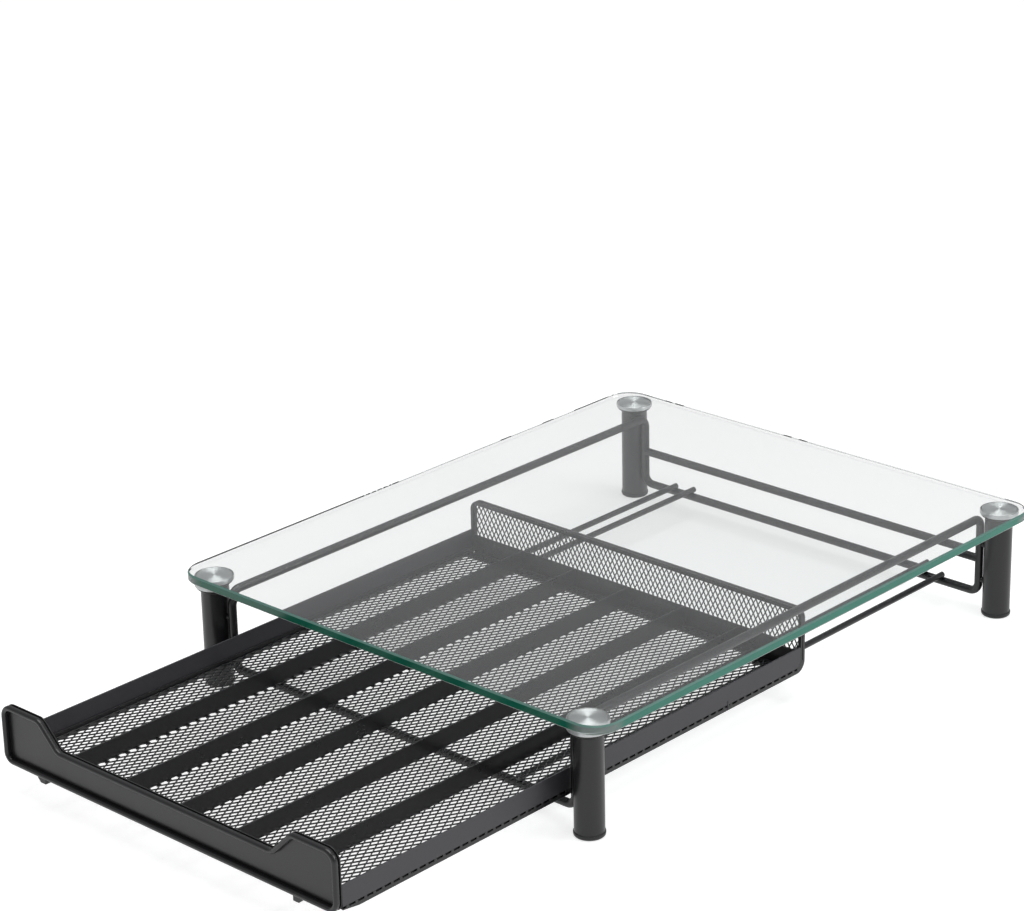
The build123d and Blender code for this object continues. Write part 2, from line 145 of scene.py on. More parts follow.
# %% Finish
class Finish:
    """A tree of nodes in the making, for a material or for the world."""

    def __init__(self, name, owner=None):
        self.owner = owner or bpy.data.materials.new(name)
        self.owner.use_nodes = True
        self.tree = self.owner.node_tree
        self.tree.nodes.clear()

    def node(self, kind, settings=None, sockets=None, output=0):
        """Adds one node, sets it, fills its sockets and gives its output."""
        made = self.tree.nodes.new(kind)
        for key, value in (settings or {}).items():
            setattr(made, key, value)
        for key, value in (sockets or {}).items():
            if isinstance(value, Value):
                self.tree.links.new(value.socket, made.inputs[key])
            else:
                made.inputs[key].default_value = value
        return Value(self, made.outputs[output]) if made.outputs else made

    def noise(self, scale, detail=2.0, roughness=0.5, stretch=(1.0, 1.0, 1.0)):
        """Cloudy noise on Object coordinates, which stay with the piece when it moves."""
        place = self.node("ShaderNodeTexCoord", output="Object")
        place = self.node("ShaderNodeMapping", {}, {"Vector": place, "Scale": stretch})
        return self.node(
            "ShaderNodeTexNoise",
            {},
            {"Vector": place, "Scale": scale, "Detail": detail, "Roughness": roughness},
        )

    def place(self, axis):
        """One Object coordinate, in metres."""
        place = self.node("ShaderNodeTexCoord", output="Object")
        return self.node("ShaderNodeSeparateXYZ", {}, {"Vector": place}, output=axis)

    def ramp(self, value, low, high):
        """Rises smoothly from 0 to 1 between two values."""
        return self.node(
            "ShaderNodeMapRange",
            {"interpolation_type": "SMOOTHSTEP"},
            {"Value": value, "From Min": low, "From Max": high},
        )

    def mix(self, share, first, second):
        """One colour into another."""
        return self.node(
            "ShaderNodeMix",
            {"data_type": "RGBA"},
            {0: share, 6: (*first, 1.0), 7: (*second, 1.0)},
            output=2,
        )

    def bump(self, height, distance, strength):
        """Leans the surface as if it rose and fell by a distance in metres."""
        return self.node(
            "ShaderNodeBump",
            {},
            {"Height": height, "Distance": distance, "Strength": strength},
        )

    def surface(self, sockets):
        """The shader that most finishes end in."""
        return self.node("ShaderNodeBsdfPrincipled", {}, sockets)

    def light_path(self, ray):
        """1 for rays of one kind, such as Is Shadow Ray, and 0 for the others."""
        return self.node("ShaderNodeLightPath", output=ray)

    def blend(self, share, first, second):
        """One shader into another."""
        return self.node("ShaderNodeMixShader", {}, {0: share, 1: first, 2: second})

    def done(self, shader, kind="ShaderNodeOutputMaterial"):
        """Ends the tree in a shader, and gives the material or the world."""
        self.node(kind, {}, {"Surface": shader})
        return self.owner


print("a Finish knows", [name for name in vars(Finish) if not name.startswith("_")])

# %% [markdown]
# ## Black powder coat
# Powder coat is a skin of melted plastic dust. Very little light comes back out of the black
# itself: what the eye sees is the gloss, so the coat looks grey where it mirrors something
# pale and black where two coated faces look at each other. It could be one flat colour with
# one gloss, but a real coat has a fine orange-peel ripple of about half a millimetre, its
# gloss varies slowly, and a few grains of dust stay in it. Three noises make these, because
# noise has no seams and stays sharp from near by.

# %% Powder coat
PEEL_SCALE, CLOUD_SCALE, DUST_SCALE = 2600.0, 60.0, 5200.0
DUST_THRESHOLD = 0.71
DUST_LIGHTER = 1.6
CLOUD_SHARE, DUST_SHARE = 0.7, 0.6
GLOSS_SWING = 0.16
COAT_SHINE = 0.56
PEEL_STRENGTH = 0.35
COAT_PEEL, MESH_PEEL = 0.05 * MM, 0.03 * MM
DEEP_BLACK = (0.007, 0.007, 0.008)
# Painted light: the side plates get a lighter grey than the other black, so that they come out
# as bright as the light from the right makes them.
LIT_PLATE_GREY = (0.030, 0.029, 0.034)
MESH_GREY = (0.009, 0.009, 0.010)


def powder_coat(name, colour, gloss, peel=COAT_PEEL):
    """A satin coat: colour, roughness and the height of its peel in metres."""
    coat = Finish(name)
    ripple = coat.noise(PEEL_SCALE, detail=3.0)
    cloud = coat.noise(CLOUD_SCALE, detail=4.0, roughness=0.6)
    dust = coat.noise(DUST_SCALE, detail=1.0) > DUST_THRESHOLD
    lighter = tuple(level * DUST_LIGHTER for level in colour)
    return coat.done(
        coat.surface(
            {
                "Base Color": coat.mix(
                    cloud * CLOUD_SHARE + dust * DUST_SHARE, colour, lighter
                ),
                "Roughness": gloss + (cloud - 0.5) * GLOSS_SWING,
                "Specular IOR Level": COAT_SHINE,
                "Normal": coat.bump(ripple, peel, PEEL_STRENGTH),
            }
        )
    )


frame_black = powder_coat("frame_black", DEEP_BLACK, gloss=0.34)
drawer_black = powder_coat("drawer_black", DEEP_BLACK, gloss=0.30)
lit_plate_black = powder_coat("lit_plate_black", LIT_PLATE_GREY, gloss=0.42)
tube_black = powder_coat("tube_black", DEEP_BLACK, gloss=0.31)
mesh_black = powder_coat("mesh_black", MESH_GREY, gloss=0.42, peel=MESH_PEEL)
COATS = (frame_black, drawer_black, lit_plate_black, tube_black, mesh_black)
print("coats", [coat.name for coat in COATS])

# %% [markdown]
# ## Moulded plastic
# The feet and the collars are moulded. Their skin is a fine spark texture, duller than the
# coat on the tubes, and it is worn smooth in patches. Its pits are some hundredths of a
# millimetre deep, too small for geometry, so they are bump, and a wider noise carries both
# the patches' colour and their gloss.

# %% Moulded plastic
SPARK_SCALE, PATCH_SCALE = 3800.0, 180.0
SPARK_DEPTH, SPARK_STRENGTH = 0.05 * MM, 0.5
PLASTIC_GLOSS, PATCH_SWING = 0.46, 0.2
NEW_PLASTIC, WORN_PLASTIC = (0.010, 0.010, 0.011), (0.022, 0.022, 0.023)

plastic = Finish("moulded_plastic")
spark = plastic.noise(SPARK_SCALE)
patches = plastic.noise(PATCH_SCALE, detail=3.0)
moulded_plastic = plastic.done(
    plastic.surface(
        {
            "Base Color": plastic.mix(patches, NEW_PLASTIC, WORN_PLASTIC),
            "Roughness": PLASTIC_GLOSS + (patches - 0.5) * PATCH_SWING,
            "Normal": plastic.bump(spark, SPARK_DEPTH, SPARK_STRENGTH),
        }
    )
)
print("plastic", NEW_PLASTIC, "to", WORN_PLASTIC)

# %% [markdown]
# ## Turned metal
# The discs under the glass are turned on a lathe. The tool leaves rings: the few that show one
# by one are built as real ridges further down, and the thousands that don't make the gloss
# wider across the rings than along them. A rough, strongly anisotropic gloss does that, and
# gives the bright double fan. The threaded pieces inside the tubes are zinc plated, which is
# cloudier.

# %% Turned metal
ROUND_THE_AXIS = 0.25
GRAIN_DULLER = 0.08
ALUMINIUM = ((0.60, 0.62, 0.62), (0.68, 0.70, 0.70))
ZINC = ((0.42, 0.43, 0.45), (0.62, 0.63, 0.64))


def bare_metal(name, colours, grain_scale, roughness, brushed=0.0):
    """Metal with a grain: its two colours, how fine the grain is, and how it is brushed."""
    metal = Finish(name)
    grain = metal.noise(grain_scale, detail=3.0)
    return metal.done(
        metal.surface(
            {
                "Base Color": metal.mix(grain, *colours),
                "Metallic": 1.0,
                "Roughness": roughness + grain * GRAIN_DULLER,
                "Anisotropic": brushed,
                "Anisotropic Rotation": ROUND_THE_AXIS,
            }
        )
    )


turned_metal = bare_metal(
    "turned_metal", ALUMINIUM, grain_scale=900.0, roughness=0.40, brushed=0.9
)
zinc_plate = bare_metal("zinc_plate", ZINC, grain_scale=500.0, roughness=0.35)
print("metals", turned_metal.name, zinc_plate.name)

# %% [markdown]
# ## Glass
# Light passes the sheet and bends in it, and a little of it is lost. A shadow ray can't bend,
# and without help the sheet would cast the shadow of a board. So for shadow rays, and for the
# rays that carry light from surface to surface, the sheet is a plain tinted filter.

# %% Glass
GLASS_TINT = (0.960, 0.967, 0.965, 1.0)
SHADOW_TINT = (0.90, 0.92, 0.915, 1.0)
GLASS_BENDING = 1.5


def clear_shader(finish):
    """Bending glass for the eye, and a plain filter for shadow rays."""
    body = finish.surface(
        {
            "Base Color": GLASS_TINT,
            "Roughness": 0.0,
            "IOR": GLASS_BENDING,
            "Transmission Weight": 1.0,
        }
    )
    filter_only = finish.node("ShaderNodeBsdfTransparent", {}, {"Color": SHADOW_TINT})
    straight = finish.light_path("Is Shadow Ray") | finish.light_path("Is Diffuse Ray")
    return finish.blend(straight, body, filter_only)


sheet_glass = Finish("sheet_glass")
clear_glass = sheet_glass.done(clear_shader(sheet_glass))
print("glass", GLASS_TINT[:3])

# %% [markdown]
# ## The glass from its edge
# Seen from outside, a straight edge sends back light that has come a long way through the
# glass, and what is left of it is green. Seen from inside, the same edge is a mirror. To
# follow that light through the sheet would take very many bounces. So the edge finishes are
# painted green, but only on the outside of the sheet, and stay clear glass on the inside.

# %% Edge shaders
EDGE_POLISH, UPPER_GROUND, LOWER_GROUND = 0.10, 0.25, 0.30
STREAK_DULLER = 0.10
INNER_GROUND = 0.3


def tinted(edge, streaks, colours, roughness=EDGE_POLISH):
    """The light that an edge sends back, streaky between two colours."""
    return edge.surface(
        {
            "Base Color": edge.mix(streaks, *colours),
            "Roughness": roughness + streaks * STREAK_DULLER,
            "IOR": GLASS_BENDING,
        }
    )


def edge_finish(edge, outside, inner_colour=None):
    """An edge that is clear from inside, or has a colour of its own there."""
    inside = clear_shader(edge)
    if inner_colour:
        inside = edge.surface(
            {"Base Color": (*inner_colour, 1.0), "Roughness": INNER_GROUND}
        )
    back_side = edge.node("ShaderNodeNewGeometry", output="Backfacing")
    return edge.done(edge.blend(back_side, outside, inside))


print("edges polished to", EDGE_POLISH, "and ground to", UPPER_GROUND, LOWER_GROUND)

# %% [markdown]
# ## Green sides, half clear corners
# The front and back edges are painted a darker green than the two long sides: painted shade,
# because less light comes from the front. At the rounded corners the way through the glass is
# short: the green goes over into half clear glass, with upright streaks from the grinding
# belt. Two ramps along X and Y say how near a corner a point is, and a third turns one green
# into the other. The narrow arris is ground dull, and its two bevels take lighter greens:
# painted highlights along the upper and the lower arris.

# %% Glass edges
glass_low, glass_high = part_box("glass_top")
glass_middle = (glass_low + glass_high) / 2
GLASS_CORNER = 17 * MM
FADE_START, FADE_END = -25 * MM, -13 * MM
STREAK_SCALE = 90.0
LONG_STREAKS, BELT_STREAKS = (0.25, 0.25, 1.0), (1.0, 1.0, 0.15)
LEAST_CLEAR, BELT_CLEARER = 0.10, 0.6
# Painted shade and light: the front green is darker and the side green lighter, after the
# light that falls on each side, not because the glass differs.
SHADED_FRONT_GREEN = ((0.001, 0.105, 0.058), (0.006, 0.170, 0.105))
LIT_SIDE_GREEN = ((0.006, 0.148, 0.098), (0.020, 0.232, 0.162))
CORNER_GREEN = ((0.140, 0.210, 0.190), (0.420, 0.500, 0.475))
# Painted highlights: the upper arris is a lighter green for the light band along the top edge,
# and the lower arris lighter still for the thin line of light along the bottom edge.
UPPER_HIGHLIGHT_GREEN = ((0.075, 0.175, 0.145), (0.120, 0.240, 0.205))
LOWER_HIGHLIGHT_GREEN = ((0.300, 0.370, 0.340), (0.420, 0.490, 0.460))
ARRIS_INSIDE = (0.050, 0.056, 0.054)

polished = Finish("polished_sides")
from_end = abs(polished.place("X") - glass_middle.x) - (glass_high.x - glass_middle.x)
from_front = abs(polished.place("Y") - glass_middle.y) - (glass_high.y - glass_middle.y)
near_corner = polished.ramp(from_end, FADE_START, FADE_END) * polished.ramp(
    from_front, FADE_START, FADE_END
)
round_the_corner = polished.ramp(from_end - from_front, -GLASS_CORNER, GLASS_CORNER)
long_streaks = polished.noise(STREAK_SCALE, stretch=LONG_STREAKS)
belt_streaks = polished.noise(STREAK_SCALE, stretch=BELT_STREAKS)
shaded_front_green = tinted(polished, long_streaks, SHADED_FRONT_GREEN)
lit_side_green = tinted(polished, long_streaks, LIT_SIDE_GREEN)
corner_green = tinted(polished, belt_streaks, CORNER_GREEN)
half_clear = polished.blend(
    belt_streaks * BELT_CLEARER + LEAST_CLEAR, corner_green, clear_shader(polished)
)
straight_green = polished.blend(round_the_corner, shaded_front_green, lit_side_green)
polished_sides = edge_finish(
    polished, polished.blend(near_corner, straight_green, half_clear)
)

upper = Finish("upper_arris")
upper_painted_highlight = tinted(upper, upper.noise(STREAK_SCALE), UPPER_HIGHLIGHT_GREEN, UPPER_GROUND)
upper_arris = edge_finish(upper, upper_painted_highlight, inner_colour=ARRIS_INSIDE)
lower = Finish("lower_arris")
lower_painted_highlight = tinted(lower, lower.noise(STREAK_SCALE), LOWER_HIGHLIGHT_GREEN, LOWER_GROUND)
lower_arris = edge_finish(lower, lower_painted_highlight)
EDGE_FINISHES = (polished_sides, upper_arris, lower_arris)
print("edge finishes", [finish.name for finish in EDGE_FINISHES])

# %% [markdown]
# ## Hand tools for modelling
# Each piece starts from a primitive that is set at its size and place, and is shaped in edit
# mode, as it would be by hand. `pick` selects corners, edges or faces by where they are, and
# `run` gives what is selected to one edit-mode tool. `edit` does both.

# %% Modelling helpers
FACING = 0.9


def fresh(name, scale=None):
    """Names the primitive that was just added, with its place put into its mesh."""
    piece = bpy.context.object
    piece.name = piece.data.name = name
    if scale:
        piece.scale = scale
    bpy.ops.object.transform_apply(location=True, rotation=True, scale=True)
    return piece


def nothing_selected():
    """Keeps the next primitive apart from the last piece."""
    bpy.ops.object.select_all(action="DESELECT")


def only(piece):
    """Selects one piece and nothing else."""
    nothing_selected()
    bpy.context.view_layer.objects.active = piece
    piece.select_set(True)


def pick(piece, kind, test):
    """Selects the corners, edges or faces of a piece that pass a test."""
    only(piece)
    mesh = piece.data
    bpy.ops.object.mode_set(mode="EDIT")
    bpy.ops.mesh.select_mode(type=kind)
    bpy.ops.mesh.select_all(action="DESELECT")
    bpy.ops.object.mode_set(mode="OBJECT")
    if kind == "VERT":
        for corner in mesh.vertices:
            corner.select = test(corner.co)
    elif kind == "EDGE":
        for line in mesh.edges:
            line.select = test(*[mesh.vertices[i].co for i in line.vertices])
    else:
        for face in mesh.polygons:
            face.select = test(face)


def run(piece, tool, **settings):
    """Runs one edit-mode tool on what is selected in a piece."""
    only(piece)
    bpy.ops.object.mode_set(mode="EDIT")
    tool(**settings)
    bpy.ops.object.mode_set(mode="OBJECT")


def edit(piece, kind, test, tool, **settings):
    """Picks, and runs one tool on what was picked."""
    pick(piece, kind, test)
    run(piece, tool, **settings)


def everything(*_):
    """The test that all corners, edges and faces pass."""
    return True


def level_face(face):
    """The test for faces that look straight up or down."""
    return abs(face.normal.z) > FACING


def add_modifier(piece, kind, **settings):
    """Adds one modifier and applies it."""
    only(piece)
    modifier = piece.modifiers.new(kind.lower(), kind)
    for key, value in settings.items():
        setattr(modifier, key, value)
    bpy.ops.object.modifier_apply(modifier=modifier.name)


def copy_of(piece, name, shift):
    """A copy with a mesh of its own, moved by a shift."""
    mesh = piece.data.copy()
    mesh.transform(Matrix.Translation(shift))
    twin = bpy.data.objects.new(name, mesh)
    bpy.context.scene.collection.objects.link(twin)
    return twin


print("a face is level when its normal's height is above", FACING)

# %% [markdown]
# ## What every piece gets at the end
# A finished piece takes its material, rides on its body and stands for its solids. Rounded
# edges are shaded smooth. Faces square to an axis are shaded flat, because a smooth bevel
# next to them would otherwise spread its gloss over them. Angles are in degrees.

# %% Finish a piece
SQUARE = 0.9999
SOFT_ANGLE = 40


def finish_piece(piece, body, slot_name, material, *nodes, smooth=None):
    """Gives a piece its finish, and says what it rides on and which solids it stands for."""
    only(piece)
    if smooth is not None:
        bpy.ops.object.shade_smooth_by_angle(angle=math.radians(smooth))
        for face in piece.data.polygons:
            if max(abs(level) for level in face.normal) > SQUARE:
                face.use_smooth = False
    piece.data.materials.clear()
    piece.data.materials.append(material)
    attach(piece, body)
    if nodes:
        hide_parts(*nodes)
    print(piece.name, len(piece.data.polygons), "faces")


print("edges up to", SOFT_ANGLE, "degrees are smooth")

# %% [markdown]
# ## The sheet of glass
# A sheet of float glass is cut, its corners are rounded on a belt and its edges are ground
# and polished. Its solid has the right shape, but it is cut into triangles that would show
# as facets in the clear corners. So a block gets its four upright edges bevelled for the
# corners, then the outline of both large faces bevelled for the arris. Each face takes the
# finish of its place: clear glass, polished side, or upper or lower arris.

# %% Glass top
GLASS_ARRIS = 1.0 * MM
CORNER_STEPS = 24
GLASS_ANGLE = 35

nothing_selected()
bpy.ops.mesh.primitive_cube_add(size=1, location=glass_middle)
glass = fresh("glass_sheet", glass_high - glass_low)
edit(
    glass,
    "EDGE",
    lambda a, b: abs(a.z - b.z) > MM,
    bpy.ops.mesh.bevel,
    offset=GLASS_CORNER,
    segments=CORNER_STEPS,
)
edit(
    glass,
    "FACE",
    level_face,
    bpy.ops.mesh.bevel,
    offset=GLASS_ARRIS,
    segments=1,
)
finish_piece(glass, "stand", "clear_glass", clear_glass, "glass_top", smooth=GLASS_ANGLE)
for finish in EDGE_FINISHES:
    glass.data.materials.append(finish)
CLEAR, UPRIGHT_SIDE, UPPER_ARRIS, LOWER_ARRIS = range(4)
SLOPING = 0.1
for face in glass.data.polygons:
    if level_face(face):
        face.material_index = CLEAR
    elif abs(face.normal.z) > SLOPING:
        face.material_index = UPPER_ARRIS if face.normal.z > 0 else LOWER_ARRIS
    else:
        face.material_index = UPRIGHT_SIDE
print("edge faces", sum(face.material_index > CLEAR for face in glass.data.polygons))

# %% [markdown]
# ## The discs under the glass
# A round bar is faced on the lathe: the tool leaves ridges, and the coarsest are a few
# hundredths of a millimetre high. Here the upper face of a cylinder is inset again and again,
# with its level going up and down, so that every ring is a real ridge that catches light.
# One disc is made and copied to the other three feet.

# %% Turned discs
FEET = ("front_left", "front_right", "rear_left", "rear_right")
DISC_RINGS = 9
RING_HEIGHT = 0.02 * MM
DISC_STEPS = 96
DISC_EDGE = 0.5 * MM
DISC_ANGLE = 30
GLUE = 0.03 * MM


def at_all_feet(first, node, label):
    """The front left piece, and copies of it at the other three feet."""
    pieces = {FEET[0]: first}
    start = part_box(f"{node}_{FEET[0]}")[0]
    for foot in FEET[1:]:
        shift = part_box(f"{node}_{foot}")[0] - start
        pieces[foot] = copy_of(first, f"{label}_{foot}", shift)
    return pieces


disc_low, disc_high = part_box("glue_disc_front_left")
disc_middle = (disc_low + disc_high) / 2 - Vector((0, 0, GLUE / 2))
disc_radius = (disc_high.x - disc_low.x) / 2
nothing_selected()
bpy.ops.mesh.primitive_cylinder_add(
    vertices=DISC_STEPS,
    radius=disc_radius,
    depth=disc_high.z - disc_low.z - GLUE,
    location=disc_middle,
)
first_disc = fresh("turned_disc_front_left")
edit(
    first_disc,
    "FACE",
    level_face,
    bpy.ops.mesh.bevel,
    offset=DISC_EDGE,
    segments=2,
)
pick(first_disc, "FACE", lambda face: face.normal.z > FACING)
ring_step = (disc_radius - DISC_EDGE) / (2 * DISC_RINGS + 1)
for ring in range(2 * DISC_RINGS):
    ring_depth = -RING_HEIGHT if ring % 2 == 0 else RING_HEIGHT
    run(first_disc, bpy.ops.mesh.inset, thickness=ring_step, depth=ring_depth)
for foot, disc in at_all_feet(first_disc, "glue_disc", "turned_disc").items():
    finish_piece(
        disc,
        "stand",
        "spun_aluminium",
        turned_metal,
        f"glue_disc_{foot}",
        smooth=DISC_ANGLE,
    )

# %% [markdown]
# ## The feet
# A moulded foot closes each tube: a collar a little wider than the tube, rounded off towards
# the table so that it slides without catching. Its plug is hidden in the tube, so only the
# collar is made: a cylinder with a wide bevel below and a narrow one above.

# %% Moulded feet
FOOT_HEIGHT = 3.0 * MM
FOOT_STEPS = 72
# Which way a rim faces, the width of its bevel and the steps in it.
FOOT_BEVELS = ((-1, 1.6 * MM, 5), (1, 0.35 * MM, 2))

foot_low, foot_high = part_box("foot_plug_front_left")
foot_middle = (foot_low + foot_high) / 2
nothing_selected()
bpy.ops.mesh.primitive_cylinder_add(
    vertices=FOOT_STEPS,
    radius=(foot_high.x - foot_low.x) / 2,
    depth=FOOT_HEIGHT,
    location=(foot_middle.x, foot_middle.y, foot_low.z + FOOT_HEIGHT / 2),
)
first_foot = fresh("moulded_foot_front_left")
for sign, rounding, steps in FOOT_BEVELS:
    edit(
        first_foot,
        "FACE",
        lambda face, sign=sign: face.normal.z * sign > FACING,
        bpy.ops.mesh.bevel,
        offset=rounding,
        segments=steps,
    )
for foot, moulded in at_all_feet(first_foot, "foot_plug", "moulded_foot").items():
    finish_piece(
        moulded,
        "stand",
        "black_plastic",
        moulded_plastic,
        f"foot_plug_{foot}",
        smooth=SOFT_ANGLE,
    )

# %% [markdown]
# ## The bent wire
# The frame is one long wire that is bent eight times and welded to itself. It could be put
# together from bars and quarter rings, but the joins would show in the gloss. Its path is
# found on a block: eight of the block's twelve edges, one after another. The faces and the
# other four edges are taken away, every corner is rounded by bevelling the point, and the
# path is then made a round wire in one piece.

# %% Bent wire frame
WIRE_RADIUS = 2.75 * MM
BEND_RADIUS = 6.5 * MM
BEND_STEPS = 10
WIRE_ROUNDNESS = 6

rail_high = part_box("side_rail_right")[1]
bar_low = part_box("lower_front_bar")[0]
rear_bar_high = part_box("lower_rear_bar")[1]
wire_half = rail_high.x - WIRE_RADIUS
wire_front, wire_rear = bar_low.y + WIRE_RADIUS, rear_bar_high.y - WIRE_RADIUS
wire_low, wire_high = bar_low.z + WIRE_RADIUS, rail_high.z - WIRE_RADIUS
wire_level = (wire_low + wire_high) / 2

nothing_selected()
bpy.ops.mesh.primitive_cube_add(
    size=1, location=(0, (wire_front + wire_rear) / 2, wire_level)
)
hoop = fresh(
    "bent_wire_frame", (2 * wire_half, wire_rear - wire_front, wire_high - wire_low)
)
edit(hoop, "FACE", everything, bpy.ops.mesh.delete, type="ONLY_FACE")
edit(
    hoop,
    "EDGE",
    lambda a, b: (abs(a.x - b.x) > MM and a.z > wire_level)
    or (abs(a.y - b.y) > MM and a.z < wire_level),
    bpy.ops.mesh.delete,
    type="EDGE",
)
edit(
    hoop,
    "VERT",
    everything,
    bpy.ops.mesh.bevel,
    offset=BEND_RADIUS,
    segments=BEND_STEPS,
    affect="VERTICES",
)
print("path points", len(hoop.data.vertices))
only(hoop)
bpy.ops.object.convert(target="CURVE")
hoop.data.bevel_depth = WIRE_RADIUS
hoop.data.bevel_resolution = WIRE_ROUNDNESS
bpy.ops.object.convert(target="MESH")
hoop = bpy.context.object
print("wire", round(2 * WIRE_RADIUS / MM, 2), "mm thick")
finish_piece(
    hoop,
    "stand",
    "black_wire",
    frame_black,
    "side_rail_left",
    "side_rail_right",
    *[f"frame_post_{foot}" for foot in FEET],
    "upper_bends",
    "lower_bends",
    "lower_front_bar",
    "lower_rear_bar",
    smooth=SOFT_ANGLE,
)

# %% [markdown]
# ## The outline of the drawer's front
# The front is pressed from sheet, and its middle is dropped to leave room to reach over. The
# outline could be a table of points, but every curve would have to be worked out by hand.
# Instead a plane is cut at the ends of the two slopes, its middle is lowered, the cuts are
# dissolved and the corners are rounded by bevelling points, so each radius is one number.

# %% Front outline
LOW_MIDDLE = 22.2 * MM
LOW_HALF, SHOULDER_HALF = 89 * MM, 105 * MM
BOTTOM_CORNER, BOTTOM_STEPS = 7 * MM, 12
TOP_CORNER, TOP_STEPS = 8 * MM, 14
SLOPE_BEND, SLOPE_STEPS = 2.7 * MM, 8
HAIR = 0.1 * MM
FLAT_ANGLE = 1

front_low, front_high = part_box("front_rim")
front_middle = (front_low + front_high) / 2
top_level = front_high.z - HAIR


def in_low_middle(corner):
    """The test for the part of the upper edge that is lowered."""
    return corner.z > top_level and abs(corner.x) < LOW_HALF + HAIR


def at_top_corner(corner):
    """The test for the two upper corners."""
    return corner.z > top_level and abs(corner.x) > SHOULDER_HALF + HAIR


def at_slope_end(corner):
    """The test for the upper and lower ends of the two slopes."""
    across = abs(corner.x)
    return min(abs(across - LOW_HALF), abs(across - SHOULDER_HALF)) < HAIR


def front_outline(name, depth):
    """The front's outline as one flat face, at a depth behind its foremost point."""
    nothing_selected()
    bpy.ops.mesh.primitive_plane_add(
        size=1,
        location=(front_middle.x, front_low.y + depth, front_middle.z),
        rotation=(math.pi / 2, 0, 0),
    )
    face = fresh(name, (front_high.x - front_low.x, front_high.z - front_low.z, 1))
    for cut in (-SHOULDER_HALF, -LOW_HALF, LOW_HALF, SHOULDER_HALF):
        edit(
            face,
            "FACE",
            everything,
            bpy.ops.mesh.bisect,
            plane_co=(cut, 0, 0),
            plane_no=(1, 0, 0),
        )
    edit(
        face,
        "VERT",
        in_low_middle,
        bpy.ops.transform.translate,
        value=(0, 0, front_low.z + LOW_MIDDLE - front_high.z),
    )
    edit(
        face,
        "FACE",
        everything,
        bpy.ops.mesh.dissolve_limited,
        angle_limit=math.radians(FLAT_ANGLE),
    )
    for test, radius, steps in (
        (lambda corner: corner.z < front_low.z + HAIR, BOTTOM_CORNER, BOTTOM_STEPS),
        (at_top_corner, TOP_CORNER, TOP_STEPS),
        (at_slope_end, SLOPE_BEND, SLOPE_STEPS),
    ):
        edit(
            face,
            "VERT",
            test,
            bpy.ops.mesh.bevel,
            offset=radius,
            segments=steps,
            affect="VERTICES",
        )
    return face


print("front from", round(front_low.z, 4), "to", round(front_high.z, 4))

# %% [markdown]
# ## Rings of the outline
# The front's edge is rolled over, and a fold could be swept along the outline. A sweep pinches
# at the tight bends of the slopes, so the fold is made of rings instead: the outline is inset,
# its inside is taken out, the ring is given its thickness, and the loops of its front and back
# edges are bevelled.

# %% Rings
FRONT_STEPS, BACK_STEPS = 6, 2


def keep_inside(face, inset):
    """Draws a flat face in from its edge and throws the border away."""
    edit(face, "FACE", everything, bpy.ops.mesh.inset, thickness=inset)
    run(face, bpy.ops.mesh.select_all, action="INVERT")
    run(face, bpy.ops.mesh.delete, type="FACE")


def front_ring(name, depth, thickness, inset, width, front_rounding, back_rounding):
    """One ring of the front's outline, rounded at its front and back edges."""
    ring = front_outline(name, depth)
    if inset:
        keep_inside(ring, inset)
    edit(ring, "FACE", everything, bpy.ops.mesh.inset, thickness=width)
    run(ring, bpy.ops.mesh.delete, type="FACE")
    add_modifier(ring, "SOLIDIFY", thickness=thickness, offset=-1)
    for sign, rounding, steps in (
        (-1, front_rounding, FRONT_STEPS),
        (1, back_rounding, BACK_STEPS),
    ):
        if rounding:
            pick(ring, "FACE", lambda face, sign=sign: face.normal.y * sign > FACING)
            run(ring, bpy.ops.mesh.region_to_loop)
            run(ring, bpy.ops.mesh.bevel, offset=rounding, segments=steps)
    return ring


print("steps of a rounding", FRONT_STEPS, "in front,", BACK_STEPS, "behind")

# %% [markdown]
# ## The rolled bead and the pressed face
# A round bead runs all round the front, with a narrow neck and a thin lip behind it, so that a
# dark groove shows from the side. The face lies back inside the bead. Each part reaches a
# little into the next, so that no light comes through between them.

# %% Rolled bead and pressed face
BEAD_WIDTH, BEAD_DEPTH = 3.3 * MM, 3.3 * MM
NECK_LENGTH, NECK_INSET = 1.0 * MM, 1.0 * MM
SEAT = 0.1 * MM
BEAD_FRONT, BEAD_BACK, LIP_EDGE = 1.6 * MM, 0.7 * MM, 0.25 * MM

rim_depth = front_high.y - front_low.y
bead = front_ring(
    "rolled_front_edge", 0, BEAD_DEPTH, 0, BEAD_WIDTH, BEAD_FRONT, BEAD_BACK
)
neck = front_ring(
    "front_neck",
    BEAD_DEPTH - SEAT,
    NECK_LENGTH + 2 * SEAT,
    NECK_INSET,
    BEAD_WIDTH - NECK_INSET,
    0,
    0,
)
lip = front_ring(
    "front_lip",
    BEAD_DEPTH + NECK_LENGTH,
    rim_depth - BEAD_DEPTH - NECK_LENGTH,
    0,
    BEAD_WIDTH,
    LIP_EDGE,
    LIP_EDGE,
)
only(bead)
for ring in (neck, lip):
    ring.select_set(True)
bpy.ops.object.join()
finish_piece(
    bead, "drawer", "black_steel", drawer_black, "front_rim", smooth=SOFT_ANGLE
)

panel_low, panel_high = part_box("front_panel")
face_plate = front_outline("pressed_front_face", panel_low.y - front_low.y)
keep_inside(face_plate, BEAD_WIDTH - SEAT)
add_modifier(face_plate, "SOLIDIFY", thickness=panel_high.y - panel_low.y, offset=-1)
finish_piece(
    face_plate, "drawer", "black_steel", drawer_black, "front_panel", smooth=SOFT_ANGLE
)

# %% [markdown]
# ## Sheet metal with painted edges
# Paint draws back from a sharp edge and leaves it a little round, and that line catches the
# light. The plates keep the shape of their solids: each is a copy whose triangles are merged
# into whole faces and whose edges are rounded by a fifth of a millimetre.

# %% Painted plates
PAINT_ROUNDING = 0.2 * MM
MERGE_DISTANCE = 0.001 * MM
DIVIDERS = 5


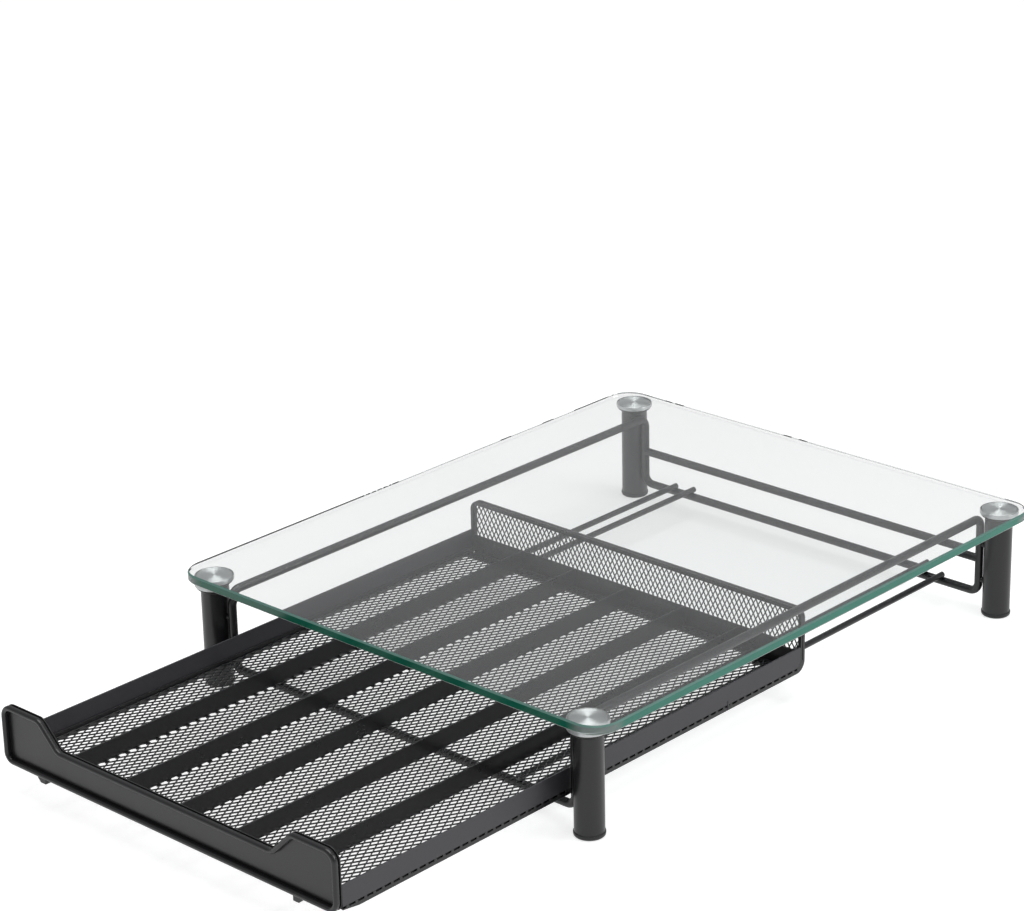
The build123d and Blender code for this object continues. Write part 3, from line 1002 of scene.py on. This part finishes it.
def painted(node, finish):
    """A copy of one of the drawer's solids with rounded edges."""
    plate = copy_of(frame["nodes"][node], f"painted_{node}", Vector())
    edit(plate, "VERT", everything, bpy.ops.mesh.remove_doubles, threshold=MERGE_DISTANCE)
    edit(
        plate,
        "FACE",
        everything,
        bpy.ops.mesh.dissolve_limited,
        angle_limit=math.radians(FLAT_ANGLE),
    )
    add_modifier(
        plate,
        "BEVEL",
        width=PAINT_ROUNDING,
        segments=2,
        limit_method="ANGLE",
        angle_limit=math.radians(SOFT_ANGLE),
    )
    finish_piece(plate, "drawer", "black_steel", finish, node, smooth=SOFT_ANGLE)


# The side bands take the lighter grey of painted light; the hems keep the plain black.
for side in ("left", "right"):
    painted(f"side_band_{side}", lit_plate_black)
    painted(f"side_hem_{side}", drawer_black)
for divider in range(1, DIVIDERS + 1):
    painted(f"lane_divider_{divider}", drawer_black)
for foot in FEET:
    painted(f"guide_lug_{foot}", drawer_black)
for node in ("rear_rim", "rear_band", "rear_floor_strip"):
    painted(node, drawer_black)

# %% [markdown]
# ## What closes the slots
# Light doesn't pass the row of slots: the floor's edge is turned up behind the plate and
# stands on the hem. A short lap, where the end of the hem's strip is folded over the plate,
# shows on the outside as a low upright ridge. Both are plain blocks with rounded edges,
# because nothing more of them can be seen.

# %% Turned-up edge and lap
SHEET = 1.0 * MM
FLANGE_GAP, FLANGE_THICKNESS = 0.2 * MM, 0.6 * MM
FLANGE_FOOT, FLANGE_OVERLAP = 0.6 * MM, 1.2 * MM
LAP_PLACE, LAP_WIDTH, LAP_HEIGHT = 28.0 * MM, 1.3 * MM, 6.2 * MM
LAP_THICKNESS = 0.3 * MM
FLANGE_ROUNDING, LAP_ROUNDING = 0.1 * MM, 0.15 * MM
BLOCK_STEPS = 3
floor_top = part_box("floor_mesh")[1].z


def soft_block(name, low, high, rounding):
    """A block between two corners, with its edges rounded."""
    low, high = Vector(low), Vector(high)
    nothing_selected()
    bpy.ops.mesh.primitive_cube_add(size=1, location=(low + high) / 2)
    block = fresh(name, [abs(reach) for reach in high - low])
    edit(
        block,
        "EDGE",
        everything,
        bpy.ops.mesh.bevel,
        offset=rounding,
        segments=BLOCK_STEPS,
    )
    return block


for side, sign in (("left", -1), ("right", 1)):
    hem_low, hem_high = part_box(f"side_hem_{side}")
    band_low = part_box(f"side_band_{side}")[0]
    outer_x = max(abs(hem_low.x), abs(hem_high.x))
    flange_x = outer_x - SHEET - FLANGE_GAP
    flange_inner_x = flange_x - FLANGE_THICKNESS
    flange_top = band_low.z + FLANGE_OVERLAP
    flange = soft_block(
        f"floor_edge_{side}",
        (sign * flange_x, hem_low.y + LAP_WIDTH, floor_top + FLANGE_FOOT),
        (sign * flange_inner_x, hem_high.y - LAP_WIDTH, flange_top),
        FLANGE_ROUNDING,
    )
    finish_piece(flange, "drawer", "black_steel", drawer_black, smooth=SOFT_ANGLE)
    lap = soft_block(
        f"hem_lap_{side}",
        (sign * (outer_x - SEAT), LAP_PLACE, hem_low.z + LAP_THICKNESS),
        (sign * (outer_x + LAP_THICKNESS), LAP_PLACE + LAP_WIDTH, hem_low.z + LAP_HEIGHT),
        LAP_ROUNDING,
    )
    finish_piece(lap, "drawer", "black_steel", lit_plate_black, smooth=SOFT_ANGLE)

# %% [markdown]
# ## Expanded mesh
# Expanded metal starts as a thin sheet that is slit and pulled, so that the slits open into
# rows of lozenges. A picture with holes would look flat from near by, so the strands are
# real. One lozenge is drawn as four corners, inset by half a strand and emptied. Array
# modifiers repeat it and a second, shifted one, the sheet is trimmed to its frame, and it
# gets its thickness.

# %% Expanded mesh
STRAND = 0.52 * MM
MESH_MERGE = 0.02 * MM


def lozenge_pair(name, cell_w, cell_h):
    """The strands round one lozenge, and round a second one half a cell away."""
    nothing_selected()
    bpy.ops.mesh.primitive_circle_add(vertices=4, radius=1, fill_type="NOTHING")
    sheet = fresh(name, (cell_w / 2, cell_h / 2, 1))
    edit(sheet, "EDGE", everything, bpy.ops.mesh.subdivide, number_cuts=1)
    edit(sheet, "EDGE", everything, bpy.ops.mesh.edge_face_add)
    edit(sheet, "FACE", everything, bpy.ops.mesh.inset, thickness=STRAND / 2)
    run(sheet, bpy.ops.mesh.delete, type="FACE")
    edit(
        sheet,
        "FACE",
        everything,
        bpy.ops.mesh.duplicate_move,
        TRANSFORM_OT_translate={"value": (cell_w / 2, cell_h / 2, 0)},
    )
    return sheet


def trim(sheet, width, height):
    """Cuts a sheet off at its four sides."""
    for side in (Vector((width / 2, 0, 0)), Vector((0, height / 2, 0))):
        for sign in (-1, 1):
            edit(
                sheet,
                "FACE",
                everything,
                bpy.ops.mesh.bisect,
                plane_co=side * sign,
                plane_no=side.normalized() * sign,
                clear_outer=True,
            )


def mesh_sheet(name, width, height, cell, thickness):
    """A flat sheet of lozenges round the origin, in the XY plane."""
    cell_w, cell_h = cell
    sheet = lozenge_pair(name, cell_w, cell_h)
    columns = math.ceil(width / cell_w) + 2
    rows = math.ceil(height / cell_h) + 2
    for count, step in ((columns, (cell_w, 0, 0)), (rows, (0, cell_h, 0))):
        add_modifier(
            sheet,
            "ARRAY",
            count=count,
            use_relative_offset=False,
            use_constant_offset=True,
            constant_offset_displace=step,
        )
    edit(sheet, "VERT", everything, bpy.ops.mesh.remove_doubles, threshold=MESH_MERGE)
    shift = Vector((-(columns // 2) * cell_w, -(rows // 2) * cell_h, 0))
    sheet.data.transform(Matrix.Translation(shift))
    trim(sheet, width, height)
    add_modifier(sheet, "SOLIDIFY", thickness=thickness, offset=0)
    return sheet


BACK_CELL = (3.8 * MM, 6.8 * MM)

mesh_low, mesh_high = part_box("back_mesh")
back_mesh = mesh_sheet(
    "back_mesh_fine",
    mesh_high.x - mesh_low.x,
    mesh_high.z - mesh_low.z,
    BACK_CELL,
    mesh_high.y - mesh_low.y,
)
back_mesh.data.transform(Matrix.Rotation(math.pi / 2, 4, "X"))
back_mesh.data.transform(Matrix.Translation((mesh_low + mesh_high) / 2))
finish_piece(back_mesh, "drawer", "black_mesh", mesh_black, "back_mesh")

# %% [markdown]
# ## The mesh floor
# The floor is the same mesh with a wider cell. In one piece it would have too many faces, so
# it is made as six lanes, each a copy of the first, that meet under the dividers.

# %% Floor mesh
FLOOR_CELL = (4.4 * MM, 7.9 * MM)
FLOOR_LANES = 6

floor_low, floor_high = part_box("floor_mesh")
floor_middle = (floor_low + floor_high) / 2
floor_size = floor_high - floor_low
lane_width = floor_size.x / FLOOR_LANES
first_lane = mesh_sheet(
    "floor_mesh_lane_1", lane_width, floor_size.y, FLOOR_CELL, floor_size.z
)
first_lane.data.transform(
    Matrix.Translation((floor_low.x + lane_width / 2, floor_middle.y, floor_middle.z))
)
lanes = [first_lane]
for lane in range(1, FLOOR_LANES):
    shift = Vector((lane * lane_width, 0, 0))
    lanes.append(copy_of(first_lane, f"floor_mesh_lane_{lane + 1}", shift))
for lane_mesh in lanes:
    finish_piece(lane_mesh, "drawer", "black_mesh", mesh_black, "floor_mesh")

# %% [markdown]
# ## Finishes for the solids that stay
# The tubes, the collars, the runners and the rear bar already have their shape as solids, so
# only their finish is missing. Each solid's record names its material, and one table turns
# that name into a finish, so that no solid is left grey.

# %% Assign finishes
finish_of = {
    "black_tube": tube_black,
    "black_wire": frame_black,
    "black_steel": drawer_black,
    "black_mesh": mesh_black,
    "black_plastic": moulded_plastic,
    "spun_aluminium": turned_metal,
    "clear_glass": clear_glass,
    "zinc_steel": zinc_plate,
}
slot_of = {part["node"]: part["material_slot"] for part in frame["record"]["subparts"]}
for node, solid in frame["nodes"].items():
    solid.data.materials.clear()
    solid.data.materials.append(finish_of[slot_of[node]])
print("finished solids:", len(slot_of))

# %% [markdown]
# ## The floor
# The object stands on pale paper that reaches far past the picture. Lit alone, paper would
# stay grey. To the eye it also glows a little, so that it clears to white away from the
# object and still keeps its shadow. Each kind of ray gets its own share of glow and grey.

# %% Floor
FLOOR_REACH = 40.0
PAPER_GREY = 0.80
GLOW_AND_GREY = {
    "Is Glossy Ray": (0.60, 0.45),
    "Is Transmission Ray": (0.65, 0.45),
    "Is Camera Ray": (0.66, 0.60),
}

nothing_selected()
bpy.ops.mesh.primitive_plane_add(size=FLOOR_REACH, location=(0, 0, 0))
floor = fresh("studio_floor")
paper = Finish("floor_paper")


def matt(level):
    """Plain paper of one grey."""
    return paper.node("ShaderNodeBsdfDiffuse", {}, {"Color": (level, level, level, 1.0)})


def glowing(strength, level):
    """Paper that also glows, for rays that look at it."""
    glow = paper.node("ShaderNodeEmission", {}, {"Color": (1, 1, 1, 1), "Strength": strength})
    return paper.node("ShaderNodeAddShader", {}, {0: matt(level), 1: glow})


seen_paper = matt(PAPER_GREY)
for ray, (strength, level) in GLOW_AND_GREY.items():
    seen_paper = paper.blend(paper.light_path(ray), seen_paper, glowing(strength, level))
floor.data.materials.append(paper.done(seen_paper))
print("floor", FLOOR_REACH, "m, seen by", list(GLOW_AND_GREY))

# %% [markdown]
# ## The lights
# A wide soft box hangs overhead, as over a table in a photo studio. A smaller one stands
# behind on the right, where it draws the light lines down the feet and along the right-hand
# plates.

# %% Lights
def soft_light(name, place, size, power):
    """A square soft light that faces the middle of the object."""
    lamp_data = bpy.data.lights.new(name, "AREA")
    lamp_data.size = size
    lamp_data.energy = power
    lamp = bpy.data.objects.new(name, lamp_data)
    bpy.context.scene.collection.objects.link(lamp)
    lamp.location = place
    lamp.rotation_euler = (-Vector(place)).to_track_quat("-Z", "Y").to_euler()
    print(name, power, "W")


soft_light("top_light", (0.1, 0.0, 2.2), size=1.8, power=32)
soft_light("right_light", (1.7, 0.9, 1.1), size=0.9, power=10)

# %% [markdown]
# ## The background
# The background is white to the eye, also through the glass near the horizon, and grey to
# everything that only mirrors it. A background that is white to all of them would put a pale
# film on the black coat, most of all under the glass.

# %% Background
HORIZON = 0.15
MIRRORED_GREY = (0.41, 0.415, 0.42, 1.0)

world = bpy.data.worlds.new("studio")
bpy.context.scene.world = world
sky = Finish("studio", world)
grey = sky.node("ShaderNodeBackground", {}, {"Color": MIRRORED_GREY})
white = sky.node("ShaderNodeBackground", {}, {"Color": (1, 1, 1, 1)})
direction = sky.node("ShaderNodeTexCoord", output="Generated")
upwards = sky.node("ShaderNodeSeparateXYZ", {}, {"Vector": direction}, output="Z")
through_sheet = sky.light_path("Is Transmission Ray") * (1 - (upwards > HORIZON))
backdrop = sky.light_path("Is Camera Ray") | through_sheet
sky.done(sky.blend(backdrop, grey, white), "ShaderNodeOutputWorld")
print("background white below", HORIZON)

bpy.context.scene.view_settings.view_transform = "Standard"

# %% [markdown]
# ## Sizes
# The dressed object has to stay inside the box of its solids.
